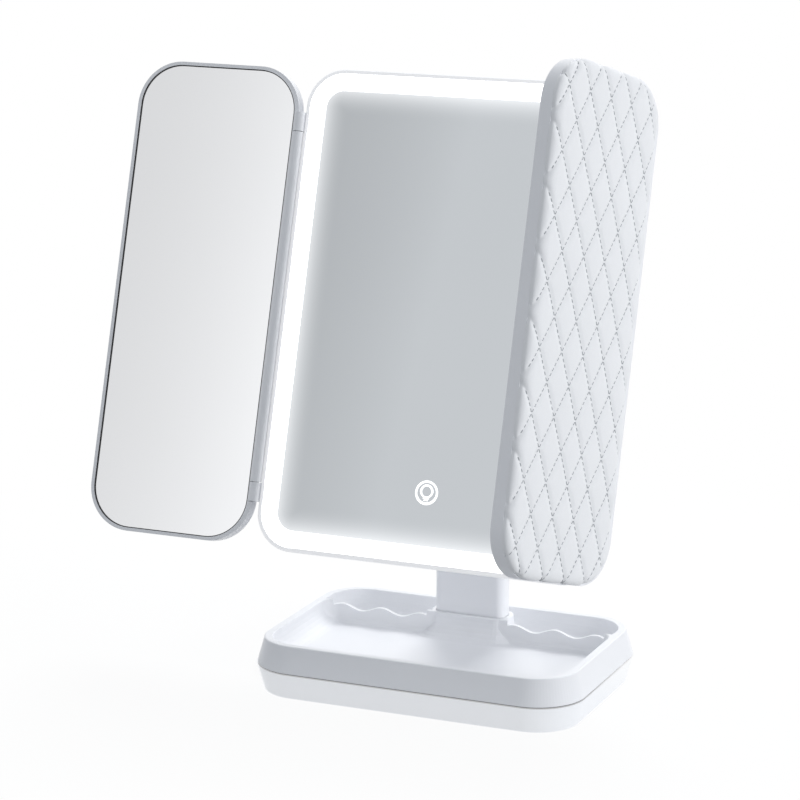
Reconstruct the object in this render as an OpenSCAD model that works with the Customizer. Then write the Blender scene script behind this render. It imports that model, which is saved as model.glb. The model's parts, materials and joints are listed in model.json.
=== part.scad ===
// Trifold vanity mirror on a tray base: a lit centre mirror that tilts on a column,
// with two folding side mirrors whose backs are quilted covers.
// Millimetres. +Z is up, the mirror looks along -Y, the origin is under the tray's middle.

/* [Tray] */
// Width of the tray at the table
base_w = 192; // [170:1:230]
// Depth of the tray at the table
base_d = 130; // [115:1:160]
// Height of the tray's rim above the table
base_h = 15; // [13:0.5:22]
// Corner radius of the tray at the table
base_r = 28; // [24:1:40]
// How far the outer wall leans in on its way up to the rim
base_draft = 4.2; // [2:0.2:8]
// Width of the rim's flat top
rim_w = 4.5; // [3:0.5:7]
// Height of the tray's floor above the table
floor_z = 2.2; // [1.8:0.1:4]
// Radius of the coves where the tray's walls meet its floor
floor_fillet = 9.5; // [3:0.5:11]
// How far the inner walls lean in on their way down to the floor
pocket_lean = 1.2; // [0.5:0.1:3]
// Thickness of the divider at its top
divider_t = 2; // [1.6:0.2:5]
// Distance of the divider's front behind the collar's front
divider_back = 0.8; // [0.5:0.1:6]
// Height of the divider's crests above the table
divider_h = 12.8; // [10:0.2:15]
// Depth of the waves along the divider's top
wave_depth = 3.2; // [0:0.2:5]
// Length of one wave along the divider
wave_length = 24.5; // [12:0.5:40]
// Thickness of the non-slip pad under the tray
pad_t = 0.6; // [0.4:0.1:1.2]

/* [Column] */
// Width of the column
column_w = 42; // [34:1:56]
// Depth of the column
column_d = 13.5; // [12:0.5:18]
// Radius of the column's upright edges
column_r = 4.5; // [2.5:0.5:6]
// Distance of the column behind the tray's middle
column_y = 39.5; // [34:0.5:42]
// Wall of the column's shells
column_wall = 2; // [1.6:0.2:2.6]
// Height of the tilt axis above the table
pivot_z = 190; // [170:1:240]
// Wall of the collar around the column's foot
collar_wall = 2.4; // [1.6:0.2:4]
// Visible line between the column and its collar
collar_gap = 0.3; // [0.2:0.05:0.6]
// Radius of the flare where the collar meets the tray
collar_flare = 10; // [4:0.5:10]

/* [Tilt hinge] */
// Radius of the tilt shaft
shaft_r = 3; // [2:0.25:3.5]
// Backward tilt of the head from upright, as photographed
head_tilt = 17.4; // [0:0.1:45]
// Thickness of the bracket's ears
ear_t = 4; // [3:0.5:7]
// Gap between each ear and the column
ear_gap = 0.4; // [0.2:0.05:1]
// Distance of the tilt axis behind the head's back
pivot_reach = 19.2; // [17:0.1:26]
// Height of the tilt axis above the head's lower edge
pivot_w = 145.6; // [138:0.1:170]

/* [Head] */
// Width of the head
head_w = 198; // [180:1:230]
// Height of the head
head_h = 270; // [250:1:320]
// Thickness of the head
head_t = 20; // [20:0.5:26]
// Corner radius of the head
head_r = 22; // [16:1:40]
// Width of the thin lip around the head's face
lip_w = 2.3; // [2:0.1:3]
// Wall behind the head
head_wall = 2; // [1.6:0.2:2.6]
// Radius of the head's back edge
head_edge = 6; // [3:0.5:8]
// How far the head's sides are trimmed flat beside the wings
side_trim = 0.5; // [0.2:0.1:1]
// Width of the glowing band around the centre mirror
band_w = 9.5; // [7:0.5:14]
// Depth of the glass behind the lip
glass_inset = 0.6; // [0.3:0.1:1.2]
// Thickness of each mirror
glass_t = 2; // [1.5:0.5:3]
// Height of the touch mark's middle above the head's lower edge
touch_z = 41; // [30:1:50]
// Outer diameter of the touch mark
touch_d = 13.4; // [10:0.2:20]

/* [Wings] */
// Width of each side frame
wing_w = 99.4; // [80:0.2:99.8]
// Corner radius of the side frames
wing_r = 25.5; // [16:0.5:34]
// Depth of the rigid side frames
wing_t = 7.4; // [6:0.2:10]
// Width of the lip around each side mirror
wing_lip = 1.9; // [1.5:0.1:3]
// Width of that lip on the hinge side
hinge_lip = 2.6; // [2.4:0.1:6]
// Depth of the side glass behind the lip
wing_inset = 0.8; // [0.5:0.1:1.2]
// Width of the dark gasket around each side mirror
gasket_w = 0.5; // [0.3:0.1:1]
// How far the wings stop short of the head's top and lower edge
wing_end = 1; // [0:0.2:4]
// Fold of the left wing forward from flat, as photographed
left_fold = 2; // [0:1:170]
// Fold of the right wing forward from flat, as photographed
right_fold = 105; // [0:1:170]

/* [Wing hinges] */
// Radius of the spine and of the lugs it turns between
spine_r = 3.05; // [2.8:0.05:3.3]
// Radius of the hinge pins
pin_r = 1.5; // [1:0.05:1.6]
// Height of the lower lug's middle above the head's lower edge
lug_z = 31; // [28:1:60]
// Length of each lug
lug_l = 10.6; // [8:0.2:16]
// Radial clearance between a pin or shaft and the bore it turns in
running_gap = 0.05; // [0.02:0.01:0.08]
// Clearance between the spine and what stands beside it
hinge_gap = 0.4; // [0.3:0.05:0.8]
// How far the hinge axis lies in front of the lip
hinge_front = 0.25; // [0.2:0.05:1]

/* [Quilted covers] */
// Height of the padding above the side frame
cover_t = 4.8; // [3:0.2:12]
// Extra height of the padding at its middle
crown = 1.2; // [0:0.1:3]
// Width of one quilted diamond
diamond_w = 19.2; // [14:0.2:30]
// Height of one quilted diamond
diamond_h = 33.6; // [24:0.2:50]
// Depth of the stitched channels
channel_d = 1.6; // [0:0.1:3]
// Width of the cover's rounded edge
roll = 5.5; // [3:0.5:14]
// The same on the hinge side
roll_hinge = 13; // [3:0.5:20]
// How far the padding stands back from the frame's hinge side
cover_setback = 5; // [2:0.1:12]

/* [Hidden] */

$fn = 64;
slip = 0.15;                   // clearance between seated pieces
cut = 1;                       // how far a cut reaches past the face it opens
white = "white";

// screws
screw_r = 1.25;
screw_head_r = 2.6;
screw_head_t = 1.4;
// tray
top_w = base_w - 2 * base_draft;
top_d = base_d - 2 * base_draft;
pocket_w = top_w - 2 * rim_w;
pocket_d = top_d - 2 * rim_w;
pocket_r = base_r - base_draft - rim_w;
rim_edge = 0.4;
inner_r = 8;                   // corner radius of the compartments beside the divider
divider_fillet = 3;            // radius at the divider's foot
crest_in = 9.8;                // the outermost crest stands this far inside the pocket's end
pad_inset = 5;
collar_w = column_w + 2 * (collar_gap + collar_wall);
collar_d = column_d + 2 * (collar_gap + collar_wall);
collar_r = column_r + collar_gap + collar_wall;
divider_y = column_y - collar_d / 2 + divider_back;
socket_z = 4.4;                // top of the thick floor inside the collar
// column
core_w = column_w - 2 * column_wall - 2 * slip;
core_d = column_d - 2 * column_wall - 2 * slip;
core_t = 3;
core_foot = 10;                // height of the core's solid foot
bolt_x = 13;                   // foot screws stand this far from the middle
seam_y = column_y + column_d / 2 - column_wall;
rear_w = column_w - 2 * column_r;
rear_z1 = pivot_z - 16;
rear_screws = [socket_z + 26, pivot_z - 34];
rear_boss = 3.2;
// tilt hinge
pivot_v = head_t + pivot_reach;
ear_r = 7.5;
ear_x = column_w / 2 + ear_gap;
side_play = 0.1;
washer_t = 0.8;
nut_t = shaft_r + 0.2;
nut_r = shaft_r + 2.5;
nut_x = ear_x + ear_t + side_play + washer_t;
bracket_w = 2 * (ear_x + ear_t);
bracket_h = 46;
bracket_t = 3.5;
bracket_hole_x = bracket_w / 2 - 7;
bracket_hole_z = bracket_h / 2 - 6;
// head
face_w = head_w - 2 * lip_w;
face_h = head_h - 2 * lip_w;
face_r = head_r - lip_w;
mirror_w = face_w - 2 * band_w;
mirror_h = face_h - 2 * band_w;
mirror_r = max(4, face_r - band_w);
glass_v = glass_inset + glass_t;
carrier_v = glass_v + 7;       // back of the light carrier, on the housing's step
carrier_t = 1.5;
rib_t = 1.4;
step_in = 3;                   // the housing is this much narrower behind that step
back_v = head_t - head_wall;
window_in = 24;                // width of the light carrier's frame
led_in = 2.6;
led_w = 4.6;
led_t = 0.8;
led_rows = 17;
led_columns = 11;
boss_x = face_w / 2 - 13;
boss_z = [34, head_h - 34];
trim_x = head_w / 2 - side_trim;
mark_t = 0.3;
// batteries
cell_r = 5.25;
cell_l = 44.5;
cell_pitch = 11;
cell_v = 11.6;
contact_t = 0.5;
contact_w = 8;
spring_l = 1.7;
box_wall = 2.8;
box_in_w = cell_l + 5;
box_in_h = 4 * cell_pitch + 0.6;
box_z = 88;
box_v = cell_v - cell_r - 1.6;
door_lap = 1.2;
door_w = box_in_w + 2 * door_lap;
door_h = box_in_h + 2 * door_lap;
door_t = head_wall - 0.1;
grip_w = 14;                   // width of the door's finger grooves
grip_pitch = 1.8;
// electronics
board_w = 58;
board_h = 24;
board_in = 21.7;               // its right end stands this far inside the head's face
board_x = face_w / 2 - board_w / 2 - board_in;
board_z = 35;
board_v = 13;
board_t = 1.6;
usb_x = board_x + 16;
usb_w = 8.9;
usb_h = 3.2;
plug_x = board_x - board_w / 2 + 6;   // lead sockets at the board's left end
plug_z = 6;                    // above and below its middle
sensor_r = 9;
lead_w = 1.6;
lead_t = lead_w / 2;
// wings
hinge_u = trim_x + hinge_gap + spine_r;
hinge_v = -hinge_front;
wing_x0 = 1.3;                 // the frame starts this far outboard of its hinge axis
wing_x1 = wing_x0 + wing_w;
glass_x0 = wing_x0 + hinge_lip;
glass_x1 = wing_x1 - wing_lip;
wing_glass_v = wing_inset + glass_t;
wing_web = 1.4;
gasket_v = 0.2;                // depth of the gasket's front behind the lip
lug_zs = [lug_z, head_h - lug_z];
spine_z0 = lug_zs[0] + lug_l / 2 + hinge_gap;
spine_z1 = lug_zs[1] - lug_l / 2 - hinge_gap;
pin_deep = 9;                  // length of each pin inside the spine
// quilted covers
cover_x0 = wing_x0 + cover_setback;
cover_x1 = wing_x1 - 0.1;
cover_z0 = wing_end + 0.6;
cover_z1 = head_h - wing_end - 0.6;
cover_w = cover_x1 - cover_x0;
cover_h = cover_z1 - cover_z0;
cover_r = wing_r - 0.5;
hem_t = 1.3;                   // upright edge of the cover where it meets the frame
seam_x = 54.5;                 // a stitched crossing, outboard of the hinge axis
seam_z = 84.9;                 // and its height above the head's lower edge

// ---------- shared shapes ----------

module rounded(w, h, r) {
    square([w, h - 2 * r], center = true);
    square([w - 2 * r, h], center = true);
    for (x = [-1, 1], y = [-1, 1]) translate([x * (w / 2 - r), y * (h / 2 - r)]) circle(r = r);
}

// a plate of the head or a wing: the outline's y is the height, v runs from front to back
module plate(v0, v1) {
    translate([0, v1, 0]) rotate([90, 0, 0]) linear_extrude(v1 - v0) children();
}

// one ring of a loft: a rectangle with its own corner radius at the front and at the back
function ring(x, y0, y1, r0, r1, inset, z, steps = 8) = let (
    a = max(0.5, r0 - inset),
    b = max(0.5, r1 - inset),
    u = x - inset,
    c = [[u - b, y1 - inset - b, b, 0], [b - u, y1 - inset - b, b, 90],
         [a - u, y0 + inset + a, a, 180], [u - a, y0 + inset + a, a, 270]])
    [for (k = c, i = [0 : steps]) let (t = k[3] + 90 * i / steps)
        [k[0] + k[2] * cos(t), k[1] + k[2] * sin(t), z]];

// a solid through a list of such rings, from the lowest to the highest
module loft(rings) {
    n = len(rings[0]);
    m = len(rings);
    walls = [for (j = [0 : m - 2], i = [0 : n - 1]) let (k = (i + 1) % n)
        [j * n + i, (j + 1) * n + i, (j + 1) * n + k, j * n + k]];
    polyhedron(points = [for (q = rings, p = q) p], convexity = 6,
        faces = concat([[for (i = [0 : n - 1]) i]],
            walls, [[for (i = [n - 1 : -1 : 0]) (m - 1) * n + i]]));
}

module at_head() {
    translate([0, column_y, pivot_z]) rotate([-head_tilt, 0, 0])
        translate([0, -pivot_v, -pivot_w]) children();
}

// wings are drawn unfolded, from their hinge axis outboard along +x
module at_wing(fold) {
    translate([hinge_u, hinge_v, 0]) rotate([0, 0, -fold]) translate([0, -hinge_v, 0]) children();
}

module at_left() {
    at_head() mirror([1, 0, 0]) at_wing(left_fold) children();
}

module at_right() {
    at_head() at_wing(right_fold) children();
}

// a screw along +z with its head at the top, z = 0 under the head
module screw(length, head_r = screw_head_r, head_t = screw_head_t) {
    translate([0, 0, -length]) cylinder(r = screw_r, h = length);
    difference() {
        cylinder(r = head_r, h = head_t);
        for (a = [0, 90]) rotate([0, 0, a])
            translate([-1.4, -0.3, head_t - 0.6]) cube([2.8, 0.6, 1]);
    }
}

// ---------- tray ----------

// how far a cove of radius r reaches out at height h above its foot
function cove(h, r) = h < r ? r - sqrt(r * r - pow(r - h, 2)) : 0;

// a compartment with leaning walls and coved feet, tighter along its y1 side
module compartment(y0, y1, r0, r1, foot_r) {
    lean = pocket_lean / (base_h - floor_z);
    function row(z) = let (wide = cove(z - floor_z, floor_fillet), tight = cove(z - floor_z, foot_r))
        ring(pocket_w / 2, y0, y1 + wide - tight, r0, r1, lean * (base_h - z) + wide, z, 12);
    function open_row(grow, z) = ring(pocket_w / 2, y0, y1, r0, r1, -grow, z, 12);
    loft(concat([for (a = [0 : 15 : 90]) row(floor_z + floor_fillet * (1 - cos(a)))],
        [row(base_h - rim_edge), open_row(rim_edge, base_h + 0.01),
         open_row(rim_edge + 0.01, base_h + cut)]));
}

// everything above the divider's waves, on one side of the collar
module wave_cut() {
    steps = 40;
    x0 = collar_w / 2 + 1;
    x1 = pocket_w / 2;
    crests = [for (i = [0 : steps]) let (x = x0 + (x1 - x0) * i / steps)
        [x, divider_h - wave_depth / 2 * (1 - cos(360 * (x1 - crest_in - x) / wave_length))]];
    translate([0, divider_y + divider_t + cut, 0]) rotate([90, 0, 0])
        linear_extrude(divider_t + 2 * cut)
            polygon(concat(crests, [[x1, base_h + cut], [x0, base_h + cut]]));
}

module tray_body() {
    difference() {
        loft([for (q = [[0, 0.6], [0.6, 0], [base_h - rim_edge, 0], [base_h, rim_edge]])
            let (lean = base_draft * q[0] / base_h + q[1])
            ring(base_w / 2, -base_d / 2, base_d / 2, base_r, base_r, lean, q[0], 24)]);
        compartment(-pocket_d / 2, divider_y, pocket_r, inner_r, divider_fillet);
        difference() {
            compartment(-pocket_d / 2, pocket_d / 2, pocket_r, pocket_r, floor_fillet);
            translate([-base_w, divider_y + divider_t - base_d, 0]) cube([2 * base_w, base_d, 2 * base_h]);
        }
        wave_cut();
        mirror([1, 0, 0]) wave_cut();
    }
    // the collar round the column's foot, flaring out onto the floor
    translate([0, column_y, 0]) loft(concat(
        [collar_ring(-collar_flare, pad_t + 0.2)],
        [for (a = [0 : 18 : 90])
            collar_ring(-collar_flare * (1 - sin(a)), floor_z + collar_flare * (1 - cos(a)))],
        [collar_ring(0, base_h - 0.4), collar_ring(0.4, base_h)]));
}

function collar_ring(inset, z) =
    ring(collar_w / 2, -collar_d / 2, collar_d / 2, collar_r, collar_r, inset, z, 6);

module base_tray() color(white) difference() {
    tray_body();
    // socket for the column's foot
    translate([0, column_y, socket_z]) linear_extrude(base_h)
        rounded(column_w + 2 * collar_gap, column_d + 2 * collar_gap, column_r + collar_gap);
    // recess for the non-slip pad
    translate([0, 0, -cut]) linear_extrude(pad_t + cut)
        rounded(base_w - 2 * pad_inset, base_d - 2 * pad_inset, base_r - pad_inset);
    // holes for the foot screws, with recesses for their heads
    for (s = [-1, 1]) translate([s * bolt_x, column_y, 0]) {
        cylinder(r = screw_r + slip, h = base_h);
        translate([0, 0, -cut]) cylinder(r = screw_head_r + slip, h = cut + 0.6 + screw_head_t);
    }
}

module base_pad() color("dimgray") linear_extrude(pad_t) difference() {
    rounded(base_w - 2 * pad_inset - 2 * slip, base_d - 2 * pad_inset - 2 * slip,
        base_r - pad_inset - slip);
    for (s = [-1, 1]) translate([s * bolt_x, column_y]) circle(r = screw_head_r + 0.5);
}

module foot_screws() color("silver")
    for (s = [-1, 1]) translate([s * bolt_x, column_y, 0.6 + screw_head_t]) rotate([180, 0, 0])
        screw(socket_z + core_foot - 2 - screw_head_t);

// ---------- column ----------

// the column with its half-round top, shrunk by a gap on every side
module column_solid(gap) {
    r = column_d / 2 - gap;
    intersection() {
        translate([0, column_y, socket_z]) linear_extrude(pivot_z)
            rounded(column_w - 2 * gap, 2 * r, max(1, column_r - gap));
        translate([-column_w, column_y, 0]) rotate([90, 0, 90]) linear_extrude(2 * column_w) {
            translate([0, pivot_z]) circle(r = r);
            translate([-r, 0]) square([2 * r, pivot_z]);
        }
    }
}

module along_shaft(r, length) {
    translate([-length / 2, column_y, pivot_z]) rotate([0, 90, 0]) cylinder(r = r, h = length);
}

module column_front() color(white) difference() {
    column_solid(0);
    difference() {
        translate([0, 0, -cut]) column_solid(column_wall);
        translate([-column_w, column_y - column_d, pivot_z]) cube([2 * column_w, 2 * column_d, 20]);
    }
    along_shaft(column_d / 2 - column_wall, core_w + 2 * slip);
    // the opening that the rear cover closes
    translate([-rear_w / 2, seam_y - cut, socket_z - cut])
        cube([rear_w, column_wall + 2 * cut, rear_z1 - socket_z + cut]);
    along_shaft(shaft_r, 2 * column_w);
}

module column_rear() color(white) difference() {
    translate([-rear_w / 2 + slip, seam_y, socket_z])
        cube([rear_w - 2 * slip, column_wall, rear_z1 - socket_z - slip]);
    for (z = rear_screws) translate([0, seam_y, z]) rotate([-90, 0, 0]) {
        translate([0, 0, -cut]) cylinder(r = screw_r + slip, h = column_wall + 2 * cut);
        translate([0, 0, column_wall - screw_head_t])
            cylinder(r = screw_head_r + slip, h = screw_head_t + cut);
    }
}

// steel bar inside the column, with an eye for the shaft and a foot for the screws
module column_core() color("silver") difference() {
    union() {
        translate([-core_w / 2, column_y - core_t / 2, socket_z])
            cube([core_w, core_t, pivot_z - socket_z]);
        translate([0, column_y, socket_z]) linear_extrude(core_foot)
            rounded(core_w, core_d, column_r - column_wall);
        for (z = rear_screws) translate([0, column_y, z]) rotate([-90, 0, 0])
            cylinder(r = rear_boss, h = column_d / 2 - column_wall);
        along_shaft(core_d / 2, core_w);
    }
    along_shaft(shaft_r, 2 * column_w);
    for (z = rear_screws) translate([0, column_y - column_d, z]) rotate([-90, 0, 0])
        cylinder(r = screw_r, h = 2 * column_d);
    for (s = [-1, 1]) translate([s * bolt_x, column_y, 0])
        cylinder(r = screw_r, h = socket_z + core_foot - 1);
}

module column_screws() color("silver")
    for (z = rear_screws) translate([0, seam_y + column_wall - screw_head_t, z])
        rotate([-90, 0, 0]) screw(column_d / 2);

// ---------- tilt hinge ----------

module tilt_shaft() color("silver") along_shaft(shaft_r, 2 * (nut_x + nut_t + 0.8));

module shaft_nuts() color("silver") difference() {
    for (s = [0, 1]) mirror([s, 0, 0]) translate([nut_x, column_y, pivot_z]) rotate([0, 90, 0])
        cylinder(r = nut_r, h = nut_t, $fn = 6);
    along_shaft(shaft_r, 3 * column_w);
}

module friction_washers() color("gray") difference() {
    for (s = [0, 1]) mirror([s, 0, 0]) translate([nut_x - washer_t, column_y, pivot_z])
        rotate([0, 90, 0]) cylinder(r = ear_r - 0.7, h = washer_t);
    along_shaft(shaft_r, 3 * column_w);
}

// plate on the head's back with an ear on each side of the column
module tilt_bracket() color(white) at_head() difference() {
    union() {
        plate(head_t, head_t + bracket_t) translate([0, pivot_w]) rounded(bracket_w, bracket_h, 6);
        for (s = [0, 1]) mirror([s, 0, 0]) translate([ear_x, 0, pivot_w]) rotate([90, 0, 90])
            linear_extrude(ear_t) {
                translate([pivot_v, 0]) circle(r = ear_r);
                polygon([[head_t + 0.5, -14], [pivot_v, -ear_r], [pivot_v, ear_r],
                    [head_t + 0.5, 14]]);
            }
    }
    translate([-column_w, pivot_v, pivot_w]) rotate([0, 90, 0])
        cylinder(r = shaft_r + running_gap, h = 2 * column_w);
    bracket_points() translate([0, 0, -cut]) cylinder(r = screw_r + slip, h = 2 * bracket_t);
}

// the four screw places of the bracket, along +v from the head's back
module bracket_points() {
    for (x = [-1, 1], z = [-1, 1])
        translate([x * bracket_hole_x, head_t, pivot_w + z * bracket_hole_z]) rotate([-90, 0, 0])
            children();
}

module bracket_screws() color("silver") at_head() bracket_points()
    translate([0, 0, bracket_t]) screw(10);

// ---------- head ----------

module head_outline(inset, r) rounded(head_w - 2 * inset, head_h - 2 * inset, r);

module face_plate(v0, v1, inset) {
    plate(v0, v1) translate([0, head_h / 2])
        rounded(face_w - 2 * inset, face_h - 2 * inset, max(3, face_r - inset));
}

// the housing's outside: rings stacked from the lip to the back
module head_shell() {
    soft = 0.5;
    arc = [for (a = [0 : 15 : 90]) [head_t - head_edge * (1 - sin(a)), head_edge * (1 - cos(a))]];
    intersection() {
        translate([0, 0, head_h / 2]) rotate([-90, 0, 0])
            loft([for (q = concat([[0, soft], [soft, 0]], arc))
                ring(head_w / 2, -head_h / 2, head_h / 2, head_r, head_r, q[1], q[0], 14)]);
        translate([-trim_x, -head_t, -cut]) cube([2 * trim_x, 3 * head_t, head_h + 2 * cut]);
    }
}

module lug_solids() {
    for (s = [0, 1], z = lug_zs) mirror([s, 0, 0]) {
        translate([hinge_u, hinge_v, z - lug_l / 2]) cylinder(r = spine_r, h = lug_l);
        translate([trim_x - 2, 0, z - lug_l / 2]) cube([hinge_u - trim_x + 2, 5.5, lug_l]);
    }
}

// the four screws that hold the light carrier, along +v from the head's back
module carrier_points() {
    for (x = [-1, 1], z = boss_z) translate([x * boss_x, head_t, z]) rotate([-90, 0, 0]) children();
}

module usb_outline(grow) {
    translate([usb_x, board_z]) rounded(usb_w + 2 * grow, usb_h + 2 * grow, usb_h / 2 + grow - 0.05);
}

module head_housing() color(white) at_head() difference() {
    union() {
        difference() {
            head_shell();
            face_plate(-cut, carrier_v, 0);
            face_plate(carrier_v - cut, back_v, step_in);
        }
        lug_solids();
        bracket_points() translate([0, 0, -8]) cylinder(r = 3.4, h = 7);
        for (x = [-1, 1], z = [-1, 1]) translate([board_x + x * (board_w / 2 - 4),
            board_v + board_t, board_z + z * (board_h / 2 - 4)])
                rotate([-90, 0, 0]) cylinder(r = 2, h = back_v - board_v - board_t + 0.5);
    }
    for (s = [0, 1], z = lug_zs) mirror([s, 0, 0]) translate([hinge_u, hinge_v, z - lug_l])
        cylinder(r = pin_r, h = 2 * lug_l);
    bracket_points() translate([0, 0, -7.5]) cylinder(r = screw_r, h = 10);
    carrier_points() {
        translate([0, 0, -head_wall - cut]) cylinder(r = screw_r + slip, h = head_wall + 2 * cut);
        translate([0, 0, -screw_head_t]) cylinder(r = screw_head_r + slip, h = screw_head_t + cut);
    }
    plate(back_v - cut, head_t + cut) translate([0, box_z])
        rounded(door_w + 2 * slip, door_h + 2 * slip, 2 + slip);
    plate(back_v - cut, head_t + cut) usb_outline(slip);
}

module housing_screws() color("silver") at_head() carrier_points()
    translate([0, 0, -screw_head_t]) screw(7);

module wing_pins() color("silver") at_head()
    for (s = [0, 1], t = [0, 1]) mirror([s, 0, 0]) translate([hinge_u, hinge_v, head_h / 2])
        mirror([0, 0, t]) translate([0, 0, lug_zs[0] - lug_l / 2 - head_h / 2])
            cylinder(r = pin_r, h = lug_l + hinge_gap + pin_deep);

// ---------- light and mirror ----------

module light_carrier() color(white) at_head() difference() {
    union() {
        difference() {
            face_plate(carrier_v - carrier_t, carrier_v, slip);
            face_plate(0, head_t, window_in);
        }
        difference() {
            face_plate(glass_v, carrier_v, slip);
            face_plate(0, head_t, slip + rib_t);
        }
        difference() {
            face_plate(glass_v, carrier_v, band_w + 3);
            face_plate(0, head_t, band_w + 3 + rib_t);
        }
        carrier_points() translate([0, 0, carrier_v - head_t - 1])
            cylinder(r = 3.4, h = back_v - carrier_v + 1);
    }
    carrier_points() translate([0, 0, carrier_v - head_t + 0.5]) cylinder(r = screw_r, h = head_t);
}

module led_strip() color("khaki") at_head() {
    v = carrier_v - carrier_t - led_t;
    difference() {
        face_plate(v, v + led_t, led_in);
        face_plate(0, head_t, led_in + led_w);
    }
    side = face_w / 2 - led_in - led_w / 2;
    for (s = [-1, 1], i = [0 : led_rows - 1])
        translate([s * side, v - 0.4, head_h / 2 + (i - (led_rows - 1) / 2) * 13])
            cube([2.8, 1, 3.5], center = true);
    for (z = [lip_w + led_in + led_w / 2, head_h - lip_w - led_in - led_w / 2],
        i = [0 : led_columns - 1])
            translate([(i - (led_columns - 1) / 2) * 13.5, v - 0.4, z])
                cube([3.5, 1, 2.8], center = true);
}

module light_ring() color("white") at_head() difference() {
    face_plate(glass_inset, glass_v, slip);
    face_plate(0, head_t, band_w);
}

// a touch mark without letters: a ring round a plain bulb with its foot
module mark_outline() {
    k = touch_d / 2;
    difference() {
        circle(r = k);
        circle(r = 0.79 * k);
    }
    difference() {
        union() {
            translate([0, 0.15 * k]) circle(r = 0.59 * k);
            translate([-0.27 * k, -0.52 * k]) square([0.54 * k, 0.3 * k]);
        }
        translate([0, 0.15 * k]) circle(r = 0.37 * k);
    }
    translate([-0.2 * k, -0.67 * k]) square([0.4 * k, 0.1 * k]);
}

module centre_mirror() color("lightsteelblue") at_head() difference() {
    face_plate(glass_inset, glass_v, band_w + slip);
    plate(0, glass_inset + mark_t) translate([0, touch_z]) mark_outline();
}

module touch_mark() color("white") at_head()
    plate(glass_inset, glass_inset + mark_t) translate([0, touch_z]) mark_outline();

module touch_sensor() color("seagreen") at_head() {
    plate(glass_v, glass_v + 1) translate([0, touch_z]) circle(r = sensor_r);
    plate(glass_v + 1, glass_v + 2.2) translate([0, touch_z]) square([5, 4], center = true);
}

// ---------- electronics ----------

module control_board() color("seagreen") at_head() {
    plate(board_v, board_v + board_t) translate([board_x, board_z])
        square([board_w, board_h], center = true);
    plate(board_v - 1.4, board_v) translate([board_x - 12, board_z]) square([7, 6], center = true);
    plate(board_v - 2.6, board_v) translate([board_x + 2, board_z + 3]) circle(r = 3);
    plate(board_v - 2, board_v) for (z = [-plug_z, plug_z])
        translate([plug_x, board_z + z]) square([5, 6], center = true);
}

module usb_socket() color("silver") at_head() difference() {
    plate(board_v + board_t, head_t - 0.3) usb_outline(0);
    plate(board_v + board_t + 1, head_t) usb_outline(-0.4);
}

// flat leads from the board to the light, the touch sensor and the batteries
module wiring() color("dimgray") at_head() {
    v = glass_v + 2.4;
    plug_v = board_v - 2;
    box_low = box_z - box_in_h / 2 - box_wall;
    plate(v, v + lead_t) translate([sensor_r - 1, touch_z - plug_z]) {
        square([board_x - board_w / 2 + 2 - sensor_r + 1, lead_w]);
        square([lead_w, plug_z - 2]);
    }
    plate(plug_v - lead_t, plug_v) {
        translate([plug_x - lead_w / 2, board_z + plug_z])
            square([lead_w, box_low - 1 - board_z - plug_z]);
        translate([plug_x - lead_w / 2, board_z - plug_z - 1]) square([3 * lead_w, 2 * lead_w]);
    }
}

// ---------- batteries ----------

module battery_box() color("dimgray") at_head() difference() {
    plate(box_v, back_v) translate([0, box_z])
        rounded(box_in_w + 2 * box_wall, box_in_h + 2 * box_wall, 3);
    plate(box_v + 1.4, head_t) translate([0, box_z])
        square([box_in_w, box_in_h], center = true);
}

module battery_cells() color("steelblue") at_head()
    for (i = [0 : 3]) translate([0, cell_v, box_z + (i - 1.5) * cell_pitch])
        mirror([i % 2, 0, 0]) rotate([0, 90, 0]) {
            translate([0, 0, -cell_l / 2]) cylinder(r = cell_r, h = cell_l - 1);
            translate([0, 0, cell_l / 2 - 1.2]) cylinder(r = 1.9, h = 1.2);
        }

module battery_contacts() color("silver") at_head()
    for (s = [-1, 1], i = [0 : 3])
        translate([s * (box_in_w / 2 - contact_t / 2), cell_v, box_z + (i - 1.5) * cell_pitch]) {
            cube([contact_t, contact_w, contact_w], center = true);
            translate([s > 0 ? 0.1 - contact_t / 2 - spring_l : contact_t / 2 - 0.1, 0, 0])
                rotate([0, 90, 0]) cylinder(r1 = s > 0 ? 2 : 3, r2 = s > 0 ? 3 : 2, h = spring_l);
        }

module battery_door() color(white) at_head() difference() {
    plate(head_t - door_t, head_t) translate([0, box_z]) rounded(door_w, door_h, 2);
    for (i = [0 : 3]) translate([0, head_t, box_z - door_h / 2 + 5 + grip_pitch * i])
        cube([grip_w, 0.8, 0.8], center = true);
}

// ---------- wings ----------

module wing_plate(v0, v1, x0, x1, edge, r) {
    plate(v0, v1) translate([(x0 + x1) / 2, head_h / 2]) rounded(x1 - x0, head_h - 2 * (wing_end + edge), r);
}

module wing_frame() difference() {
    union() {
        wing_plate(0, wing_t, wing_x0, wing_x1, 0, wing_r);
        translate([0, hinge_v, spine_z0]) cylinder(r = spine_r, h = spine_z1 - spine_z0);
    }
    pocket_plate(-cut, wing_glass_v, 0);
    wing_plate(wing_glass_v + wing_web, wing_t + cut, cover_x0 + 3, wing_x1 - 3, 3, wing_r - 3);
    for (z = lug_zs) translate([0, hinge_v, z - lug_l / 2 - hinge_gap])
        cylinder(r = spine_r + hinge_gap, h = lug_l + 2 * hinge_gap);
    for (z = [spine_z0 - cut, spine_z1 - pin_deep - 0.5]) translate([0, hinge_v, z])
        cylinder(r = pin_r + running_gap, h = pin_deep + 0.5 + cut);
}

// a plate in the frame's pocket, its edge standing in from the pocket's wall
module pocket_plate(v0, v1, gap)
    wing_plate(v0, v1, glass_x0 + gap, glass_x1 - gap, wing_lip + gap, wing_r - wing_lip - gap);

module wing_glass() pocket_plate(wing_inset, wing_glass_v, gasket_w);

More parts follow.
